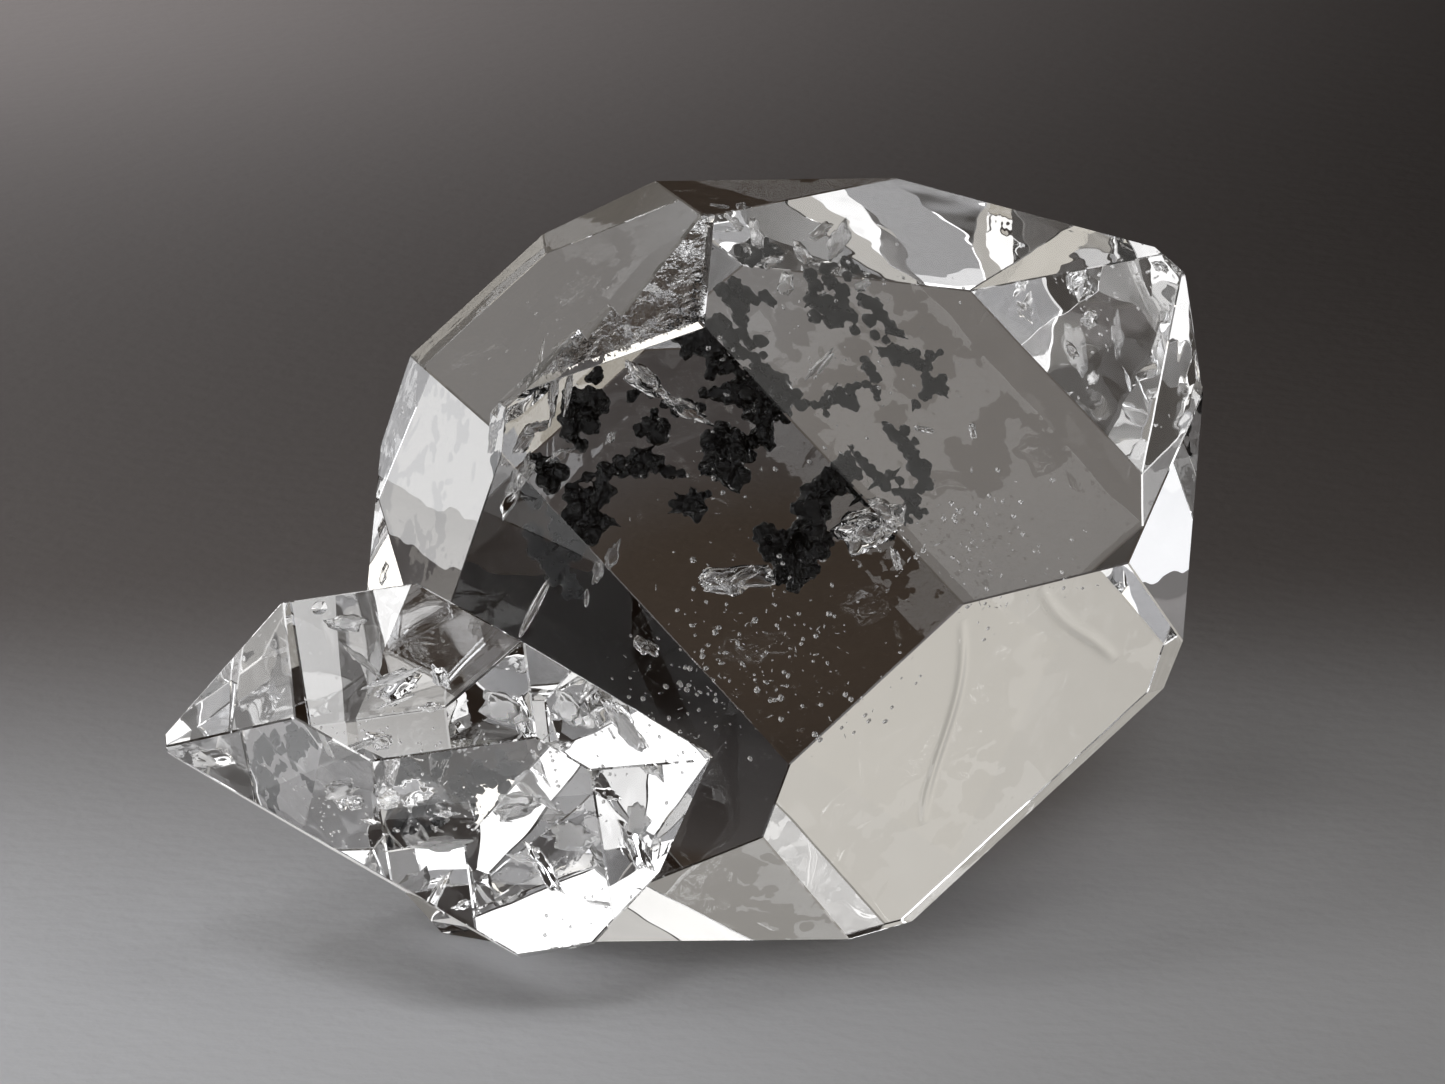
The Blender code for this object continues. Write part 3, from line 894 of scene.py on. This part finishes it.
carbon = {
    "voxel": 0.036,    # how finely the beads are melted into one skin, mm
    "scatter": 0.16,    # how far the swellings lie above or below their sheet, mm
    "beads": 15,    # small beads on each swelling
    "swell": 1.14,    # the swellings against their read radius
    "stretch": (0.74, 0.92),    # of each swelling, along its three axes
    "beadShare": (0.22, 0.44),    # a bead's radius as a share of its swelling's
    "beadSink": 0.8,    # how deep a bead sits in its swelling, in bead radii
    "spikeFlat": 0.6,    # a spike's second width against its first
    "prismDepth": 2.2,
    "pyramidDepth": 2.0,
    # each swelling: across and down in the frame, and its radius there
    "underPrism": {
        "carbon_boot": (
            (830, 475, 9), (834, 466, 4), (820, 485, 10), (838, 487, 9), (810, 495, 11), (800, 508, 9),
            (812, 505, 10), (825, 495, 8), (815, 520, 12), (825, 512, 8), (765, 535, 12), (780, 540, 12),
            (800, 530, 12), (815, 535, 13), (825, 541, 9), (770, 550, 11), (785, 560, 14), (805, 555, 14),
            (820, 550, 10), (780, 574, 10), (800, 574, 13), (795, 585, 8), (810, 570, 10)),
        "carbon_star": (
            (688, 505, 11), (698, 510, 9), (680, 505, 8), (700, 498, 6), (693, 491, 4), (673, 503, 5),
            (697, 519, 4), (708, 494, 4)),
        "carbon_flower": (
            (722, 432, 12), (735, 438, 10), (710, 440, 10), (715, 455, 13), (735, 452, 13), (749, 455, 8),
            (725, 470, 14), (740, 476, 10), (708, 468, 9), (735, 485, 8), (752, 441, 8), (762, 436, 11),
            (770, 445, 6), (765, 424, 10), (752, 413, 10), (770, 411, 10), (760, 400, 12), (745, 395, 12),
            (730, 394, 11), (716, 394, 8), (704, 393, 6), (781, 407, 6), (786, 418, 7)),
        "carbon_bead": (
            (657, 435, 11), (640, 430, 7), (648, 424, 8), (661, 427, 9), (654, 412, 5), (664, 404, 5),
            (676, 410, 7), (688, 405, 7), (700, 408, 6), (632, 396, 7), (642, 386, 6), (650, 392, 6)),
        "carbon_crown": (
            (690, 342, 10), (705, 345, 13), (715, 351, 10), (704, 334, 8), (686, 354, 6), (712, 363, 7),
            (725, 368, 8), (710, 375, 6), (740, 370, 7), (676, 338, 5)),
        "carbon_lump": (
            (571, 401, 12), (588, 400, 14), (600, 405, 10), (585, 415, 13), (568, 419, 10),
            (570, 432, 10), (590, 426, 10), (582, 445, 7), (598, 397, 8), (575, 393, 7)),
        "carbon_ball": (
            (537, 462, 10), (550, 468, 12), (561, 474, 9), (552, 486, 9), (544, 480, 8)),
        "carbon_mass": (
            (588, 477, 6), (605, 471, 9), (622, 466, 11), (640, 459, 12), (655, 463, 10), (668, 472, 8),
            (681, 474, 5), (640, 470, 9), (602, 484, 8), (611, 492, 6), (575, 495, 12), (590, 500, 12),
            (600, 497, 10), (575, 512, 13), (590, 520, 13), (604, 523, 8), (612, 522, 4), (576, 535, 13),
            (590, 535, 10), (545, 520, 11), (550, 535, 12), (560, 545, 12), (572, 556, 10),
            (565, 565, 10), (579, 570, 10), (589, 580, 7), (577, 583, 6)),
        "carbon_speck": (
            (595, 377, 8), (598, 371, 5), (588, 379, 4)),
    },
    "underPyramid": {
        "carbon_block": (
            (722, 290, 8), (735, 285, 9), (745, 292, 10), (740, 305, 11), (730, 300, 9), (740, 320, 9),
            (742, 334, 8), (735, 345, 6), (750, 345, 6), (761, 341, 8), (763, 355, 5), (771, 376, 9),
            (781, 381, 10), (785, 391, 8), (775, 395, 7), (765, 369, 7), (755, 367, 6), (765, 296, 7),
            (771, 301, 6), (755, 300, 6)),
        "carbon_twins": (
            (795, 402, 4), (805, 403, 5), (815, 405, 5), (825, 403, 7), (832, 397, 8), (848, 400, 10),
            (850, 390, 7), (838, 392, 7), (826, 414, 4), (855, 406, 6), (857, 385, 5)),
        "carbon_cloud": (
            (810, 275, 8), (825, 270, 8), (815, 285, 9), (830, 282, 9), (812, 300, 9), (825, 305, 12),
            (840, 305, 12), (835, 319, 12), (815, 317, 8), (850, 315, 9), (865, 301, 9), (875, 305, 9),
            (881, 315, 8), (870, 320, 8), (890, 325, 7), (900, 333, 5), (855, 330, 6), (875, 335, 6),
            (886, 340, 5), (843, 290, 8), (848, 263, 8), (855, 269, 6), (847, 276, 6)),
        "carbon_branch": (
            (885, 352, 7), (895, 350, 8), (905, 355, 9), (915, 362, 9), (925, 366, 8), (895, 360, 7),
            (930, 355, 6), (940, 352, 4), (915, 352, 6), (926, 377, 6), (931, 385, 9), (941, 388, 8),
            (925, 395, 7), (917, 405, 5), (943, 378, 6)),
        "carbon_drop": (
            (868, 368, 8), (865, 360, 6), (875, 378, 7), (876, 390, 6), (877, 398, 4), (866, 384, 5)),
        "carbon_blade": (
            (885, 424, 4), (890, 430, 7), (897, 438, 8), (905, 445, 9), (912, 455, 9), (915, 469, 9),
            (922, 475, 9), (928, 484, 7), (925, 465, 7), (905, 430, 6), (919, 489, 6), (915, 441, 5)),
        "carbon_shard": (
            (852, 447, 3), (857, 454, 4), (863, 462, 6), (870, 470, 7), (878, 478, 7), (890, 475, 6),
            (885, 485, 7), (895, 492, 5), (905, 495, 6), (915, 500, 7), (908, 508, 7), (925, 511, 4),
            (918, 515, 5), (900, 481, 5), (910, 521, 4)),
        "carbon_flake": (
            (757, 257, 8), (750, 262, 6), (762, 265, 5), (755, 250, 5)),
    },
    # pointed ends: across and down, radius at the foot, across and down of the point
    "spikes": {
        "carbon_star": (
            (688, 505, 8, 672, 490), (692, 503, 7, 691, 483), (695, 503, 7, 708, 489),
            (690, 510, 7, 698, 525), (682, 508, 7, 666, 514)),
        "carbon_boot": (
            (832, 480, 7, 836, 459), (815, 500, 7, 803, 488), (795, 580, 7, 784, 592)),
        "carbon_shard": (
            (862, 464, 5, 844, 440), (872, 474, 7, 850, 455), (885, 480, 6, 903, 466),
            (895, 492, 7, 925, 489), (905, 505, 7, 932, 513), (905, 510, 6, 905, 530),
            (880, 480, 6, 865, 492)),
        "carbon_mass": (
            (668, 470, 7, 692, 479), (640, 455, 8, 657, 444), (590, 478, 6, 572, 483),
            (605, 520, 6, 624, 528), (608, 493, 5, 599, 506), (579, 575, 6, 570, 592)),
        "carbon_branch": (
            (930, 360, 5, 946, 347), (938, 388, 5, 951, 401), (915, 400, 5, 912, 415),
            (885, 352, 5, 872, 345)),
        "carbon_block": (
            (735, 290, 6, 720, 280), (766, 300, 5, 776, 310)),
        "carbon_twins": (
            (797, 402, 4, 787, 399), (832, 395, 4, 839, 379)),
        "carbon_cloud": (
            (885, 330, 6, 913, 341), (812, 300, 5, 802, 310)),
        "carbon_flower": (
            (708, 468, 6, 698, 478), (735, 485, 5, 741, 496)),
    },
}


def makeCluster(name, face, depth, swellings, bead, spike):
    beads = []
    for x, y, radius, x2, y2 in carbon["spikes"].get(name, ()):
        foot = insideAt(largeFaces, face, x, y, depth)
        point = insideAt(largeFaces, face, x2, y2, depth + rng.uniform(-1, 1) * carbon["scatter"])
        reach = (point - foot).length
        size = (radius * crystal["step"], radius * crystal["step"] * carbon["spikeFlat"], reach)
        beads.append(placeCopy(spike, name, foot, size, (point - foot).to_track_quat("Z", "Y").to_matrix()))
    for x, y, radius in swellings:
        place = insideAt(largeFaces, face, x, y, depth + rng.uniform(-1, 1) * carbon["scatter"])
        size = radius * crystal["step"] * carbon["swell"]
        stretch = [size * rng.uniform(*carbon["stretch"]) for side in range(3)]
        beads.append(placeCopy(bead, name, place, stretch, anyTurn()))
        for number in range(carbon["beads"]):
            small = size * rng.uniform(*carbon["beadShare"])
            spot = place + anyDirection() * (size - small * carbon["beadSink"])
            beads.append(placeCopy(bead, name, spot, [small] * 3))
    cluster = joinPieces(beads[0], beads[1:])
    cluster.name = name + "_look"
    applyModifier(cluster, "REMESH", mode="VOXEL", voxel_size=carbon["voxel"])
    bpy.ops.object.shade_smooth()
    return cluster


def spikeModel():
    # a cone of length 1 that stands on its foot at the origin
    bpy.ops.object.select_all(action="DESELECT")
    bpy.ops.mesh.primitive_cone_add(vertices=7, radius1=1, radius2=0.04, depth=1, location=(0, 0, 0.5))
    bpy.ops.object.transform_apply(location=True, rotation=True, scale=True)
    return bpy.context.object


pitch = {
    "skin": {"Specular_IOR_Level": 0.35},
    "pebbles": {"Scale": 11000.0},
    "pebbleBump": {"Strength": 0.8, "Distance": 0.00005},
    "patches": {"Scale": 3000.0, "Detail": 3.0},
    "patchRange": (0.4, 0.65),    # of the patches' noise, from glossy to dull
    "roughness": (0.10, 0.34),
    "darkTone": (0.0022, 0.0023, 0.0027, 1),
    "paleTone": (0.009, 0.009, 0.010, 1),
}


def makeCarbon():
    # glossy pitch-like carbon, its skin pebbled and here and there duller
    material, tree, shader = newMaterial("pitchCarbon", **pitch["skin"])
    place = addNode(tree, "ShaderNodeTexCoord")
    pebbles = addNode(tree, "ShaderNodeTexVoronoi", **pitch["pebbles"])
    patches = addNode(tree, "ShaderNodeTexNoise", **pitch["patches"])
    dull = addNode(tree, "ShaderNodeMapRange")
    setRange(dull, "From", pitch["patchRange"])
    setRange(dull, "To", pitch["roughness"])
    bump = addNode(tree, "ShaderNodeBump", **pitch["pebbleBump"])
    tone = mixColours(tree, pitch["darkTone"], pitch["paleTone"])
    link(tree, place.outputs["Object"], pebbles.inputs["Vector"])
    link(tree, place.outputs["Object"], patches.inputs["Vector"])
    link(tree, patches.outputs["Fac"], dull.inputs["Value"])
    link(tree, patches.outputs["Fac"], tone.inputs["Factor"])
    link(tree, colourOut(tone), shader.inputs["Base Color"])
    link(tree, dull.outputs["Result"], shader.inputs["Roughness"])
    link(tree, pebbles.outputs["Distance"], bump.inputs["Height"])
    link(tree, bump.outputs["Normal"], shader.inputs["Normal"])
    return material


carbonLook = makeCarbon()
bead = sphereModel("bead", subdivisions=2)
spike = spikeModel()
sheets = (("underPrism", "m0", carbon["prismDepth"]), ("underPyramid", "p0", carbon["pyramidDepth"]))
for table, face, depth in sheets:
    for name, swellings in carbon[table].items():
        cluster = makeCluster(name, face, depth, swellings, bead, spike)
        finishPiece(cluster, carbonLook, [name])
dropPiece(spike)
dropPiece(bead)
print("carbon clusters made")
